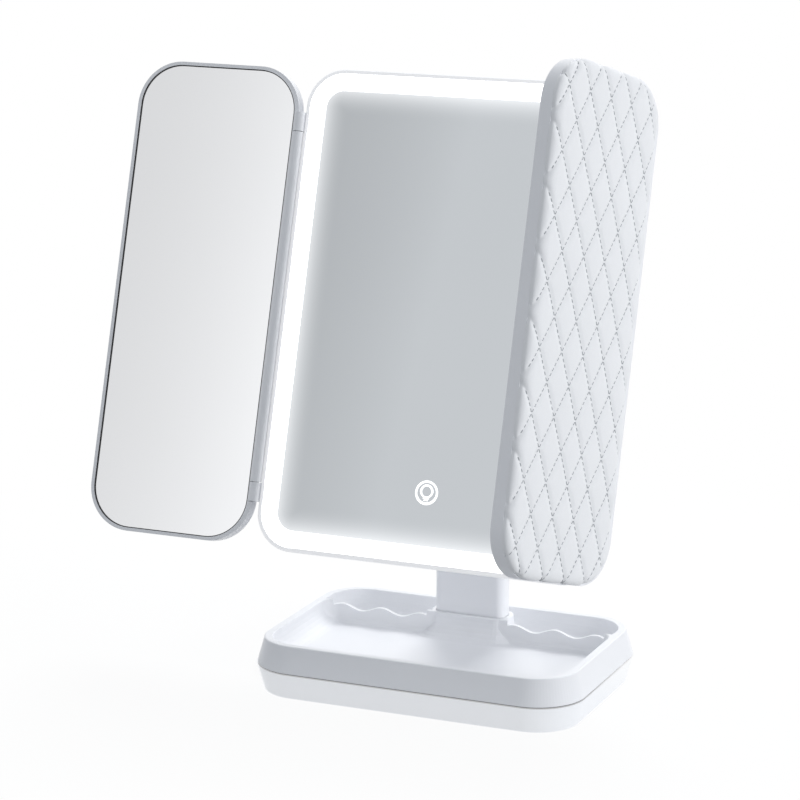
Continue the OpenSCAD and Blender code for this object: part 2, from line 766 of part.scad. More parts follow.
// soft strip that holds the glass in its pocket
module wing_gasket() difference() {
    pocket_plate(gasket_v, wing_glass_v, 0);
    pocket_plate(gasket_v - cut, wing_glass_v + cut, gasket_w);
}

module wing_backing()
    wing_plate(wing_glass_v + wing_web, wing_t, cover_x0 + 3 + slip, wing_x1 - 3 - slip,
        3 + slip, wing_r - 3 - slip);

// ---------- quilted cover ----------

function stops(lo, hi, origin, step) = let (k0 = ceil((lo + 7 - origin) / step),
    k1 = floor((hi - 7 - origin) / step))
    concat([lo, lo + 1.2, lo + 3.4], [for (k = [k0 : k1]) origin + k * step],
        [hi - 3.4, hi - 1.2, hi]);

// distance inside the cover's rounded outline
function inside(x, z) = let (
    qx = abs(x - (cover_x0 + cover_x1) / 2) - cover_w / 2 + cover_r,
    qz = abs(z - (cover_z0 + cover_z1) / 2) - cover_h / 2 + cover_r)
    cover_r - norm([max(qx, 0), max(qz, 0)]) - min(max(qx, qz), 0);

// distance to the nearest stitched line, as a share of half a diamond
function seam_share(x, z) = let (
    p = (x - seam_x) / diamond_w + (z - seam_z) / diamond_h,
    q = (x - seam_x) / diamond_w - (z - seam_z) / diamond_h)
    2 * min(abs(p - round(p)), abs(q - round(q)));

function bulge(t) = sqrt(max(0, 1 - pow(1 - min(1, max(0, t)), 2)));

function cover_height(x, z) = let (
    e = inside(x, z),
    up = bulge(min(e / roll, (x - cover_x0) / roll_hinge)),
    dome = crown * sin(180 * (x - cover_x0) / cover_w) * sin(180 * (z - cover_z0) / cover_h),
    dip = channel_d * (1 - bulge(1.2 * seam_share(x, z))))
    hem_t + (cover_t - hem_t) * up + max(0, dome) - min(0.35 + 0.65 * up, 1) * dip * min(1, e / 3);

// half the outline's width at one height
function half_width(z) = let (
    over = max(0, abs(z - (cover_z0 + cover_z1) / 2) - cover_h / 2 + cover_r))
    cover_w / 2 - cover_r + sqrt(max(0, cover_r * cover_r - over * over));

module wing_cover() {
    xs = stops(cover_x0, cover_x1, seam_x, diamond_w / 4);
    zs = stops(cover_z0, cover_z1, seam_z, diamond_h / 4);
    mid = (cover_x0 + cover_x1) / 2;
    nx = len(xs);
    nz = len(zs);
    grid = [for (z = zs, x = xs) [mid + (x - mid) * half_width(z) / (cover_w / 2), z]];
    top = [for (g = grid) [g[0], wing_t + max(0.6, cover_height(g[0], g[1])), g[1]]];
    rim = concat([for (i = [0 : nx - 1]) i], [for (j = [1 : nz - 1]) j * nx + nx - 1],
        [for (i = [nx - 2 : -1 : 0]) (nz - 1) * nx + i], [for (j = [nz - 2 : -1 : 1]) j * nx]);
    nr = len(rim);
    foot = [for (k = rim) [grid[k][0], wing_t, grid[k][1]]];
    f0 = nx * nz;
    // each cell is split along the seam that crosses it
    skin = [for (j = [0 : nz - 2], i = [0 : nx - 2]) let (
        a = j * nx + i, b = a + 1, c = a + nx + 1, d = a + nx,
        ac = seam_share(grid[a][0], grid[a][1]) + seam_share(grid[c][0], grid[c][1]),
        bd = seam_share(grid[b][0], grid[b][1]) + seam_share(grid[d][0], grid[d][1]))
        each (ac < bd ? [[a, b, c], [a, c, d]] : [[a, b, d], [b, c, d]])];
    hem = [for (k = [0 : nr - 1]) let (l = (k + 1) % nr)
        each [[rim[k], f0 + l, rim[l]], [rim[k], f0 + k, f0 + l]]];
    // the flat foot in strips from side to side: the rim runs right, up, left and down
    right0 = f0 + nx - 1;
    left0 = f0 + nr;
    function left(j) = j == 0 ? f0 : left0 - j;
    low = concat([for (i = [0 : nx - 2]) [left(1), f0 + i + 1, f0 + i]], [[left(1), right0 + 1, right0]]);
    middle = [for (j = [1 : nz - 3])
        each [[left(j), left(j + 1), right0 + j], [right0 + j, left(j + 1), right0 + j + 1]]];
    high = concat([[left(nz - 2), left(nz - 1), right0 + nz - 2]],
        [for (i = [0 : nx - 2]) [right0 + nz - 2, right0 + nz + i, right0 + nz - 1 + i]]);
    polyhedron(points = concat(top, foot), convexity = 10, faces = concat(skin, hem, low, middle, high));
}

module left_frame() color(white) at_left() wing_frame();
module left_mirror() color("lightsteelblue") at_left() wing_glass();
module left_gasket() color("black") at_left() wing_gasket();
module left_backing() color("tan") at_left() wing_backing();
module left_cover() color("whitesmoke") at_left() wing_cover();
module right_frame() color(white) at_right() wing_frame();
module right_mirror() color("lightsteelblue") at_right() wing_glass();
module right_gasket() color("black") at_right() wing_gasket();
module right_backing() color("tan") at_right() wing_backing();
module right_cover() color("whitesmoke") at_right() wing_cover();

base_tray();
base_pad();
column_front();
column_rear();
column_core();
column_screws();
foot_screws();
tilt_shaft();
shaft_nuts();
friction_washers();
tilt_bracket();
bracket_screws();
head_housing();
housing_screws();
wing_pins();
light_carrier();
led_strip();
light_ring();
centre_mirror();
touch_mark();
touch_sensor();
control_board();
usb_socket();
wiring();
battery_box();
battery_cells();
battery_contacts();
battery_door();
left_frame();
left_mirror();
left_gasket();
left_backing();
left_cover();
right_frame();
right_mirror();
right_gasket();
right_backing();
right_cover();
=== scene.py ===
"""Looks of the trifold vanity mirror: quilted covers with their stitching, glass, light, finishes and stage."""
import json
import math

import bpy
import numpy as np
from mathutils import Matrix, Vector


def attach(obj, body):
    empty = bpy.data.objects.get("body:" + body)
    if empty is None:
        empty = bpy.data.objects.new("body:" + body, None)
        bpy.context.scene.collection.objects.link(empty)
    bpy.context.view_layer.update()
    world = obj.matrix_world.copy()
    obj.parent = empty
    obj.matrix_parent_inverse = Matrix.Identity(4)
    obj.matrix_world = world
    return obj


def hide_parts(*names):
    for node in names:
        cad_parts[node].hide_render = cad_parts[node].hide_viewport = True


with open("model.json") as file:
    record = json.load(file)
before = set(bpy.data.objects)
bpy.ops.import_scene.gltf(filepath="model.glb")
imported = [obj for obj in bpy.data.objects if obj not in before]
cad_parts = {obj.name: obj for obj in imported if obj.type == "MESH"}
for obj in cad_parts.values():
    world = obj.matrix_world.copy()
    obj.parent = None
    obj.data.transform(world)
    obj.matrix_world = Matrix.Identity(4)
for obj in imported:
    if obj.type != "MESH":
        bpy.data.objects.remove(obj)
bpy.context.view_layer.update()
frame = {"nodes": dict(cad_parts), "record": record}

MM = 0.001
WHITE_LIGHT = (1, 1, 1, 1)

# Sizes and places from the CAD, in millimetres and degrees.
# The head leans back about the tilt shaft. U, V and W are its own ways across, back and up.
TILT, PIVOT_Y, PIVOT_Z, PIVOT_V, PIVOT_W = 17.4, 39.5, 190.0, 39.2, 145.6
HEAD_UP = (0, math.sin(math.radians(TILT)), math.cos(math.radians(TILT)))
HEAD_BACK = (0, HEAD_UP[2], -HEAD_UP[1])
HEAD_H = 270.0
HINGE_U, HINGE_V = 101.95, -0.25
FOLD = {"left": 2.0, "right": 105.0}

# The lit lip ends before the hinge lugs. It glows fully to LIP_FULL behind the front, and fades out by LIP_END.
LIP_GLOW, LIP_X, LIP_FULL, LIP_END = 0.32, 98.3, 1.6, 3.4
# The glow of the band on the centre mirror: its outer edge, and how far in it reaches.
EDGE_X, EDGE_W, EDGE_R, EDGE_REACH, EDGE_POWER, EDGE_PEAK = 87.2, 123.2, 10.2, 15.0, 2.3, 0.35
# The touch mark: its height, the ring's inner radius, then the bulb's rise, radius, hole and foot.
TOUCH_Z, MARK_RING, MARK_UP, MARK_BULB, MARK_HOLE, MARK_FOOT = 41.0, 5.45, 0.62, 3.95, 2.68, 2.3
# The painted contact shadow where the tray meets the table: how high up the shell it reaches.
FOOT_SHADOW_HEIGHT = 0.4

# A cover's outline in its wing's frame, where it stands, its thickness, its hem, its crown and its rolled edges.
COVER_X0, COVER_X1, COVER_Z0, COVER_Z1, COVER_R = 6.3, 100.6, 1.6, 268.4, 25.0
COVER_FOOT, COVER_T, HEM, CROWN = 7.4, 4.8, 1.3, 1.2
ROLL, ROLL_HINGE = 5.5, 13.0
COVER_GRID = 0.8
# The hem's rings: height over the cover's foot, and how far each draws in, less within HEM_EASE of the middle.
HEM_RINGS, HEM_EASE = ((0.25, 0.0), (0.0, 0.05), (0.0, 1.6)), 20

# The quilting: a diamond's size, one crossing of the seams, and the distance between seams of one family.
DIAMOND_W, DIAMOND_H, SEAM_X, SEAM_Z = 19.2, 33.6, 54.5, 84.9
SEAM_STEP = 1 / math.hypot(1 / DIAMOND_W, 1 / DIAMOND_H)
# A pillow rises steeply from its seams for one share of its height and roundly for the rest.
PILLOW, STEEP_SHARE, STEEP_REACH, ROUND_POWER, SUNK = 1.15, 0.55, 1.7, 0.7, 0.3
GROOVE, GROOVE_REACH = 0.35, 0.55
PUCKER, PUCKER_PITCH, PUCKER_REACH, PUCKER_CLEAR = 0.06, 5.3, 2.4, 0.8

# Stitches: six to each side of a diamond, on no crossing, and none nearer the edge than STITCH_INSET.
STITCHES_A_SIDE, STITCH_LENGTH, STITCH_RADIUS, STITCH_INSET, STITCH_FACETS = 6, 2.15, 0.31, 0.6, 6
# Rings along a stitch: place as a share of its length, size, and height off the cover. Its ends dip in.
STITCH_RINGS = ((-0.5, 0.45, -0.2), (-0.4, 0.95, 0.1), (0.0, 1.0, 0.16), (0.4, 0.95, 0.1), (0.5, 0.45, -0.2))

# The photograph's viewpoint, in metres, and the tray's outline and wall as the table mirrors them to it.
EYE = (0.61376, -1.49162, 0.52881)
TRAY_X, TRAY_Y, TRAY_R = 0.096, 0.065, 0.028
FOOT_X, FOOT_Y, RIM_UP, RIM_IN = 0.09583, 0.06483, 0.0146, 0.00392
WALL_STEPS = 6
TABLE = 6.0


def head_matrix():
    return (Matrix.Translation((0, PIVOT_Y * MM, PIVOT_Z * MM))
            @ Matrix.Rotation(math.radians(-TILT), 4, "X")
            @ Matrix.Translation((0, -PIVOT_V * MM, -PIVOT_W * MM)))


def wing_matrix(side):
    flip = Matrix.Scale(-1, 4, (1, 0, 0)) if side == "left" else Matrix.Identity(4)
    return (head_matrix() @ flip @ Matrix.Translation((HINGE_U * MM, HINGE_V * MM, 0))
            @ Matrix.Rotation(math.radians(-FOLD[side]), 4, "Z")
            @ Matrix.Translation((0, -HINGE_V * MM, 0)))


# ---------------------------------------------------------------- camera

cam_data = bpy.data.cameras.new("camera")
cam_data.sensor_width = 36.0
cam_data.lens = 136.14
cam_data.clip_start, cam_data.clip_end = 0.05, 60.0
camera = bpy.data.objects.new("camera", cam_data)
bpy.context.scene.collection.objects.link(camera)
camera.location = EYE
camera.rotation_euler = (math.radians(90 - 13.31), 0, math.radians(23.28))
bpy.context.scene.camera = camera


# ---------------------------------------------------------------- materials

class Nodes:
    """The nodes of a new material, or of a material or world that exists, with short names for them."""

    def __init__(self, owner):
        if isinstance(owner, str):
            owner = bpy.data.materials.new(owner)
        owner.use_nodes = True
        self.mat, self.tree = owner, owner.node_tree
        self.bsdf = self.tree.nodes.get("Principled BSDF")

    def node(self, kind, **props):
        made = self.tree.nodes.new(kind)
        for key, value in props.items():
            setattr(made, key, value)
        return made

    def link(self, a, b):
        self.tree.links.new(a, b)

    def feed(self, socket, value):
        if isinstance(value, bpy.types.NodeSocket):
            self.link(value, socket)
        else:
            socket.default_value = value

    def math(self, op, a, b=0.0):
        n = self.node("ShaderNodeMath", operation=op)
        self.feed(n.inputs[0], a)
        self.feed(n.inputs[1], b)
        return n.outputs[0]

    def vec(self, op, a, b=(0, 0, 0)):
        n = self.node("ShaderNodeVectorMath", operation=op)
        self.feed(n.inputs[0], a)
        self.feed(n.inputs[1], b)
        return n.outputs["Value"] if op == "DOT_PRODUCT" else n.outputs[0]

    def coords(self):
        return self.node("ShaderNodeTexCoord").outputs["Object"]

    def split(self, place=None):
        """The X, Y and Z of a place, or of the object's own coordinates."""
        n = self.node("ShaderNodeSeparateXYZ")
        self.link(place if place is not None else self.coords(), n.inputs[0])
        return n.outputs

    def head_place(self, height):
        """How far a point is across, behind and above the head's front middle line at that height."""
        start = head_matrix() @ Vector((0, 0, height * MM))
        place = self.vec("SUBTRACT", self.coords(), tuple(start))
        return (self.split(place)["X"], self.vec("DOT_PRODUCT", place, HEAD_BACK),
                self.vec("DOT_PRODUCT", place, HEAD_UP))

    def noise(self, scale, detail=3.0, rough=0.5, stretch=None):
        n = self.node("ShaderNodeTexNoise")
        n.inputs["Scale"].default_value = scale
        n.inputs["Detail"].default_value = detail
        n.inputs["Roughness"].default_value = rough
        place = self.coords()
        if stretch:
            place = self.vec("MULTIPLY", place, stretch)
        self.link(place, n.inputs["Vector"])
        return n.outputs["Fac"]

    def voronoi(self, scale, feature="F1", where=None):
        n = self.node("ShaderNodeTexVoronoi", feature=feature)
        n.inputs["Scale"].default_value = scale
        self.link(where if where is not None else self.coords(), n.inputs["Vector"])
        return n.outputs["Distance"]

    def ramp(self, fac, first, last):
        """A colour that goes from one to another between two (position, colour) stops."""
        n = self.node("ShaderNodeValToRGB")
        for stop, (pos, col) in zip(n.color_ramp.elements, (first, last)):
            stop.position = pos
            stop.color = (*col, 1)
        self.feed(n.inputs["Fac"], fac)
        return n.outputs["Color"]

    def span(self, value, lo, hi, to_lo, to_hi):
        n = self.node("ShaderNodeMapRange")
        self.feed(n.inputs["Value"], value)
        for key, v in (("From Min", lo), ("From Max", hi), ("To Min", to_lo), ("To Max", to_hi)):
            n.inputs[key].default_value = v
        return n.outputs["Result"]

    def bump(self, height, strength, distance):
        """Bump on top of what the shader's normal already has."""
        n = self.node("ShaderNodeBump")
        n.inputs["Strength"].default_value = strength
        n.inputs["Distance"].default_value = distance
        self.link(height, n.inputs["Height"])
        last = self.bsdf.inputs["Normal"].links
        if last:
            self.link(last[0].from_socket, n.inputs["Normal"])
        self.link(n.outputs["Normal"], self.bsdf.inputs["Normal"])

    def set(self, **values):
        for key, value in values.items():
            self.feed(self.bsdf.inputs[key.replace("_", " ")], value)

    def hypot(self, x, y):
        return self.math("SQRT", self.math("ADD", self.math("MULTIPLY", x, x), self.math("MULTIPLY", y, y)))

    def rounded_box(self, x, y, half_x, half_y, r):
        """Signed distance from a rounded rectangle, negative inside it."""
        qx = self.math("SUBTRACT", self.math("ABSOLUTE", x), half_x - r)
        qy = self.math("SUBTRACT", self.math("ABSOLUTE", y), half_y - r)
        far = self.hypot(self.math("MAXIMUM", qx, 0.0), self.math("MAXIMUM", qy, 0.0))
        near = self.math("MINIMUM", self.math("MAXIMUM", qx, qy), 0.0)
        return self.math("SUBTRACT", self.math("ADD", far, near), r)

    def emission(self):
        lit = self.node("ShaderNodeEmission")
        lit.inputs["Color"].default_value = WHITE_LIGHT
        return lit

    def mix_shaders(self, fac, first, second):
        both = self.node("ShaderNodeMixShader")
        self.feed(both.inputs[0], fac)
        self.link(first, both.inputs[1])
        self.link(second, both.inputs[2])
        return both.outputs[0]

    def seen(self):
        """1 on rays from the camera, from gloss and through glass, 0 on rays that gather light."""
        path = self.node("ShaderNodeLightPath").outputs
        return self.math("MAXIMUM", self.math("MAXIMUM", path["Is Camera Ray"], path["Is Glossy Ray"]),
                         path["Is Transmission Ray"])

    def surface(self, shader, output="Material Output"):
        self.link(shader, self.tree.nodes[output].inputs["Surface"])


def srgb(*rgb):
    return tuple((c / 255 / 12.92) if c <= 10 else ((c / 255 + 0.055) / 1.055) ** 2.4 for c in rgb)


def shade(colour, share):
    return tuple(c * share for c in colour)


def plastic(name, colour, rough=0.3, grain=0.02, tone=0.006):
    """Moulded plastic: a slight mottle in tone and gloss, fine mould grain and a faint waviness."""
    m = Nodes(name)
    lo = tuple(max(0, c - tone) for c in colour)
    hi = tuple(min(1, c + tone) for c in colour)
    m.set(Base_Color=m.ramp(m.noise(38, 4), (0.3, lo), (0.7, hi)),
          Roughness=m.span(m.noise(90, 2), 0.3, 0.7, rough - 0.015, rough + 0.02))
    m.bsdf.inputs["Specular IOR Level"].default_value = 0.45
    m.bump(m.noise(2600, 2), grain, 0.0001)
    m.bump(m.noise(14, 1), 0.02, 0.0006)
    return m.mat


def lit_lip(mat):
    """Adds the light that the band beside it throws on the head's thin front lip, as a faint glow."""
    m = Nodes(mat)
    across, depth, _ = m.head_place(0)
    fade = m.math("MINIMUM", m.math("MAXIMUM", m.span(depth, LIP_FULL * MM, LIP_END * MM, 1.0, 0.0), 0.0), 1.0)
    on_lip = m.math("LESS_THAN", m.math("ABSOLUTE", across), LIP_X * MM)
    m.set(Emission_Color=(1.0, 0.985, 0.965, 1),
          Emission_Strength=m.math("MULTIPLY", m.math("MULTIPLY", fade, on_lip), LIP_GLOW))
    return mat


def painted_foot_shadow(mat):
    """Paints the thin contact shadow along the tray's foot, where it meets the table."""
    m = Nodes(mat)
    # the painted contact shadow's dark grey, darkening the white shell below that height
    dark = m.ramp(m.noise(200, 2), (0.3, (0.09, 0.09, 0.1)), (0.7, (0.13, 0.13, 0.14)))
    mix = m.node("ShaderNodeMixRGB")
    m.link(m.math("LESS_THAN", m.split()["Z"], FOOT_SHADOW_HEIGHT * MM), mix.inputs["Fac"])
    m.link(m.bsdf.inputs["Base Color"].links[0].from_socket, mix.inputs["Color1"])
    m.link(dark, mix.inputs["Color2"])
    m.link(mix.outputs[0], m.bsdf.inputs["Base Color"])
    return mat


def metal(name, colour, rough, brushed):
    m = Nodes(name)
    streak = m.noise(900, 4, stretch=brushed)
    m.set(Base_Color=m.ramp(streak, (0.3, shade(colour, 0.86)), (0.7, colour)),
          Metallic=1.0, Roughness=m.span(streak, 0.3, 0.7, rough - 0.08, rough + 0.1))
    m.bump(streak, 0.08, 0.0001)
    return m.mat


def rubber(name, colour):
    m = Nodes(name)
    m.set(Base_Color=m.ramp(m.noise(200, 4), (0.3, shade(colour, 0.8)), (0.7, colour)),
          Roughness=m.span(m.noise(400, 3), 0.3, 0.7, 0.62, 0.82))
    m.bump(m.voronoi(900), 0.25, 0.0002)
    return m.mat


def glow(name, strength):
    """Milky light diffuser: it glows, and a little unevenly between the light chips behind it."""
    m = Nodes(name)
    m.set(Base_Color=WHITE_LIGHT, Roughness=0.35, Emission_Color=WHITE_LIGHT,
          Emission_Strength=m.span(m.noise(70, 1), 0.3, 0.7, strength * 0.985, strength * 1.015))
    m.bump(m.noise(1500, 2), 0.02, 0.0001)
    return m.mat


def mirror_glass(name, colour):
    """Silvered glass with faint wiping marks."""
    m = Nodes(name)
    smear = m.noise(11, 5, 0.6, stretch=(1, 1, 3))
    m.set(Base_Color=m.ramp(m.noise(6, 2), (0.2, shade(colour, 0.975)), (0.8, colour)),
          Metallic=1.0, Roughness=m.span(smear, 0.35, 0.75, 0.015, 0.05))
    return m.mat


def lit_edge(mat):
    """Adds the soft glow of the band along the centre mirror's edge."""
    m = Nodes(mat)
    across, _, up = m.head_place(HEAD_H / 2)
    inside = m.math("MULTIPLY", m.rounded_box(across, up, EDGE_X * MM, EDGE_W * MM, EDGE_R * MM), -1.0)
    fade = m.math("MAXIMUM", m.span(inside, 0.0, EDGE_REACH * MM, 1.0, 0.0), 0.0)
    m.set(Emission_Color=WHITE_LIGHT,
          Emission_Strength=m.math("MULTIPLY", m.math("POWER", fade, EDGE_POWER), EDGE_PEAK))
    return mat


def touch_glow(name, glass):
    """The lit sign in the glass: a ring round a bulb on its foot. Beside its strokes it is mirror again."""
    m = Nodes(name)
    across, _, up = m.head_place(TOUCH_Z)

    def far(rise):
        return m.hypot(across, m.math("SUBTRACT", up, rise * MM))

    ring = m.math("GREATER_THAN", far(0.0), MARK_RING * MM)
    bulb = m.math("MULTIPLY", m.math("GREATER_THAN", far(MARK_UP), MARK_HOLE * MM),
                  m.math("LESS_THAN", far(MARK_UP), MARK_BULB * MM))
    foot = m.math("LESS_THAN", up, -MARK_FOOT * MM)
    lit = m.math("MAXIMUM", m.math("MAXIMUM", ring, bulb), foot)
    m.set(Base_Color=m.ramp(lit, (0.0, glass), (1.0, (1.0, 1.0, 1.0))), Metallic=m.math("SUBTRACT", 1.0, lit),
          Roughness=m.span(m.noise(90, 2), 0.3, 0.7, 0.03, 0.06), Emission_Color=WHITE_LIGHT,
          Emission_Strength=m.math("MULTIPLY", lit, 1.0))
    m.bump(m.noise(1500, 2), 0.02, 0.0001)
    return m.mat


def leather(name, colour):
    """Soft synthetic leather: pebbled grain, a few finer creases and a slight mottle."""
    m = Nodes(name)
    place = m.coords()
    warp = m.node("ShaderNodeTexNoise")
    warp.inputs["Scale"].default_value = 140
    m.link(place, warp.inputs["Vector"])
    bent = m.vec("ADD", place, m.vec("MULTIPLY", warp.outputs["Color"], (0.0016, 0.0016, 0.0016)))
    pebble = m.math("MINIMUM", m.math("MULTIPLY", m.voronoi(950, "DISTANCE_TO_EDGE", bent), 3.2), 1.0)
    mottle = m.math("ADD", m.math("MULTIPLY", m.noise(24, 4), 0.7), m.math("MULTIPLY", pebble, 0.3))
    m.set(Base_Color=m.ramp(mottle, (0.3, shade(colour, 0.965)), (0.75, colour)),
          Roughness=m.span(m.noise(60, 4), 0.3, 0.7, 0.40, 0.5))
    m.bsdf.inputs["Specular IOR Level"].default_value = 0.4
    m.bsdf.inputs["Sheen Weight"].default_value = 0.08
    m.bump(pebble, 0.16, 0.00012)
    m.bump(m.noise(420, 4), 0.10, 0.00025)
    return m.mat


def thread(name, colour):
    m = Nodes(name)
    m.set(Base_Color=m.ramp(m.noise(3000, 2), (0.35, shade(colour, 0.8)), (0.65, colour)), Roughness=0.6)
    m.bump(m.noise(5200, 1, stretch=(1, 1, 0.3)), 0.5, 0.0001)
    return m.mat


def board(name):
    m = Nodes(name)
    m.set(Base_Color=m.ramp(m.noise(600, 3), (0.35, (0.015, 0.10, 0.045)), (0.65, (0.03, 0.17, 0.08))),
          Roughness=m.span(m.noise(300, 2), 0.3, 0.7, 0.3, 0.45))
    m.bump(m.noise(900, 1, stretch=(1, 1, 0.1)), 0.2, 0.0001)
    return m.mat


def fibreboard(name):
    m = Nodes(name)
    fibres = m.noise(500, 6, 0.7, stretch=(1, 1, 0.4))
    m.set(Base_Color=m.ramp(fibres, (0.3, (0.28, 0.19, 0.11)), (0.7, (0.42, 0.31, 0.2))), Roughness=0.85)
    m.bump(m.noise(1500, 4), 0.3, 0.0003)
    return m.mat


WHITE = srgb(240, 241, 244)
# The centre mirror's silver is darker than the wings' glass: painted shade, standing for the dimmer room it
# reflects.
CENTRE_SILVER_PAINTED_SHADE = srgb(198, 202, 206)
MATS = {
    "shell": plastic("white_shell", WHITE),
    "reflector": plastic("reflector_white", srgb(244, 244, 243), 0.6, 0.05),
    "inner_plastic": plastic("inner_plastic", (0.05, 0.05, 0.055), 0.5, 0.08, 0.008),
    "pad": rubber("pad_rubber", (0.09, 0.09, 0.095)),
    "washer": plastic("washer_plastic", (0.06, 0.06, 0.065), 0.45, 0.05, 0.008),
    "steel": metal("zinc_steel", (0.55, 0.56, 0.58), 0.32, (1, 1, 0.2)),
    "contact": metal("spring_steel", (0.68, 0.68, 0.66), 0.25, (0.2, 1, 1)),
    "plug_shell": metal("plated_shell", (0.66, 0.67, 0.69), 0.22, (1, 0.2, 1)),
    "mirror": mirror_glass("silvered_glass", srgb(246, 247, 249)),
    # The gasket is near black to stand for the shade in the mirrors' recesses: a dark lining put where there is
    # shadow, painted shade.
    "gasket": rubber("gasket_painted_shade", (0.012, 0.012, 0.013)),
    "diffuser": glow("light_diffuser", 1.6),
    "light_strip": plastic("light_strip", (0.83, 0.8, 0.62), 0.5),
    # the glass round the touch mark has the centre mirror's painted shade too
    "touch_mark": touch_glow("touch_mark_glow", CENTRE_SILVER_PAINTED_SHADE),
    "board": board("circuit_board"),
    "lead": rubber("lead_sheath", (0.03, 0.03, 0.033)),
    "cell": metal("cell_sleeve", (0.25, 0.3, 0.36), 0.35, (0.2, 1, 1)),
    "backing": fibreboard("fibreboard"),
    "leather": leather("quilted_leather", srgb(241, 242, 244)),
}
# The stitches' grey, darker than the leather, is painted shade on the small stitches.
THREAD_PAINTED_SHADE = thread("stitch_thread_painted_shade", srgb(176, 180, 184))
OWN_MATS = {
    # the centre mirror takes the darker silver, with its painted shade
    "centre_mirror": lit_edge(mirror_glass("centre_glass_painted_shade", CENTRE_SILVER_PAINTED_SHADE)),
    "head_housing": lit_lip(plastic("housing_shell", WHITE)),
    # the tray's shell carries a painted contact shadow along its foot
    "base_tray": painted_foot_shadow(plastic("tray_shell", WHITE)),
}
slots = {s["node"]: s["material_slot"] for s in frame["record"]["subparts"]}
for name, node in frame["nodes"].items():
    node.data.materials.clear()
    node.data.materials.append(OWN_MATS.get(name, MATS[slots[name]]))


# ---------------------------------------------------------------- quilted covers

def bulge(t):
    """A quarter circle's rise, from 0 to 1."""
    return np.sqrt(np.maximum(0, 1 - (1 - np.clip(t, 0, 1)) ** 2))


def half_width(z):
    """Half the cover's width at height z, less in its rounded corners."""
    over = np.maximum(0, np.abs(z - (COVER_Z0 + COVER_Z1) / 2) - (COVER_Z1 - COVER_Z0) / 2 + COVER_R)
    return (COVER_X1 - COVER_X0) / 2 - COVER_R + np.sqrt(np.maximum(0, COVER_R ** 2 - over ** 2))


def inset(x, z):
    """How far a point is inside the cover's outline."""
    qx = np.abs(x - (COVER_X0 + COVER_X1) / 2) - (COVER_X1 - COVER_X0) / 2 + COVER_R
    qz = np.abs(z - (COVER_Z0 + COVER_Z1) / 2) - (COVER_Z1 - COVER_Z0) / 2 + COVER_R
    return COVER_R - np.hypot(np.maximum(qx, 0), np.maximum(qz, 0)) - np.minimum(np.maximum(qx, qz), 0)


def base_height(x, z):
    """The padding's height under its quilting: rolled over at the edges and crowned in the middle."""
    up = bulge(np.minimum(inset(x, z) / ROLL, (x - COVER_X0) / ROLL_HINGE))
    dome = (CROWN * np.sin(np.pi * (x - COVER_X0) / (COVER_X1 - COVER_X0))
            * np.sin(np.pi * (z - COVER_Z0) / (COVER_Z1 - COVER_Z0)))
    return HEM + (COVER_T - PILLOW / 2 - HEM) * up + np.maximum(0, dome)


def puff(x, z):
    """How far the padding stands off its base: full inside a diamond, drawn in along the stitches."""
    # the two families of seams, as numbers that are whole on a seam
    a, b = (x - SEAM_X) / DIAMOND_W, (z - SEAM_Z) / DIAMOND_H
    p, q = a + b, a - b
    fp, fq = np.abs(np.sin(np.pi * p)), np.abs(np.sin(np.pi * q))
    dp = np.abs(p - np.round(p)) * SEAM_STEP
    dq = np.abs(q - np.round(q)) * SEAM_STEP
    near = np.minimum(dp, dq)
    steep = STEEP_SHARE * (1 - np.exp(-(near / STEEP_REACH) ** 2))
    pillow = PILLOW * (steep + (1 - STEEP_SHARE) * (fp * fq) ** ROUND_POWER)
    groove = GROOVE * np.exp(-(near / GROOVE_REACH) ** 2)
    # puckers run across the seams, shifted from one seam to the next
    fold = np.sin(2 * np.pi * (dp + dq) / PUCKER_PITCH + 9 * np.round(p) + 5 * np.round(q))
    pucker = PUCKER * fold * np.exp(-(near / PUCKER_REACH) ** 2) * (1 - np.exp(-(near / PUCKER_CLEAR) ** 2))
    return pillow - groove + pucker - SUNK


def eased(lo, hi, edge, step):
    """Stops from lo to hi, closer together where the edge rolls over."""
    turn = edge * (1 - np.cos(np.radians(np.arange(0, 91, 7.5))))
    mid = np.linspace(lo + edge, hi - edge, int(round((hi - lo - 2 * edge) / step)) + 1)
    return np.concatenate([lo + turn[:-1], mid, (hi - turn[:-1])[::-1]])


def place_on(X, Z):
    """Points on the finished cover above (X, Z), in the wing's own frame."""
    d = 0.05
    h = base_height(X, Z)
    nx = np.clip(-(base_height(X + d, Z) - base_height(X - d, Z)) / (2 * d), -3, 3)
    nz = np.clip(-(base_height(X, Z + d) - base_height(X, Z - d)) / (2 * d), -3, 3)
    size = np.sqrt(nx ** 2 + nz ** 2 + 1)
    # the quilting is a fifth shallower at the very edge
    off = puff(X, Z) * (0.8 + 0.2 * np.clip(inset(X, Z) / 1.5, 0, 1))
    return np.stack([X + nx / size * off, COVER_FOOT + np.maximum(0.5, h + off / size), Z + nz / size * off], -1)


def cover_surface():
    xs, zs = eased(COVER_X0, COVER_X1, ROLL, COVER_GRID), eased(COVER_Z0, COVER_Z1, ROLL, COVER_GRID)
    mid = (COVER_X0 + COVER_X1) / 2
    X, Z = np.meshgrid(xs, zs)
    return place_on(mid + (X - mid) * half_width(Z) / ((COVER_X1 - COVER_X0) / 2), Z)


def wing_piece(name, side, verts, faces, mat):
    """A smooth piece on a wing, from points in the wing's own frame. The left wing's are mirrored."""
    co = np.asarray(verts, float).reshape(-1, 3) * MM
    m = np.array(wing_matrix(side))
    co = co @ m[:3, :3].T + m[:3, 3]
    mesh = bpy.data.meshes.new(side + name)
    order = [tuple(reversed(f)) for f in faces] if side == "left" else faces
    mesh.from_pydata([tuple(c) for c in co], [], order)
    mesh.validate()
    for p in mesh.polygons:
        p.use_smooth = True
    obj = bpy.data.objects.new(side + name, mesh)
    bpy.context.scene.collection.objects.link(obj)
    obj.data.materials.append(mat)
    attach(obj, side + "_wing")
    return obj


